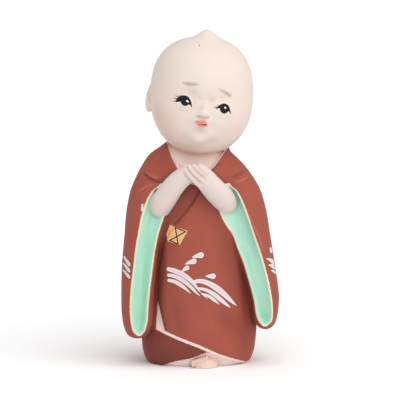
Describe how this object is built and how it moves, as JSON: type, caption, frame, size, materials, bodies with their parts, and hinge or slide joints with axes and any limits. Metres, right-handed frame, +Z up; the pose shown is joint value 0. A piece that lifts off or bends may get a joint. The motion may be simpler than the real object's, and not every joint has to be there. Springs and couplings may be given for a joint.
{
  "type": "earthenware figurine",
  "caption": "Painted earthenware figurine of a small bald child in a long-sleeved wrap robe, standing on its own base with hands clasped under the chin.",
  "frame": {"origin": "centre of the figure's bounding box, at the level of the surface it stands on", "axes": "+Z up through the head; the figure faces -Y; +X to the right of someone who looks at its face"},
  "size_m": [0.0942, 0.067, 0.2],
  "materials": {
    "painted_clay": "matt hand-painted earthenware"
  },
  "bodies": {
    "root": {"figurine": "painted_clay"}
  },
  "joints": []
}
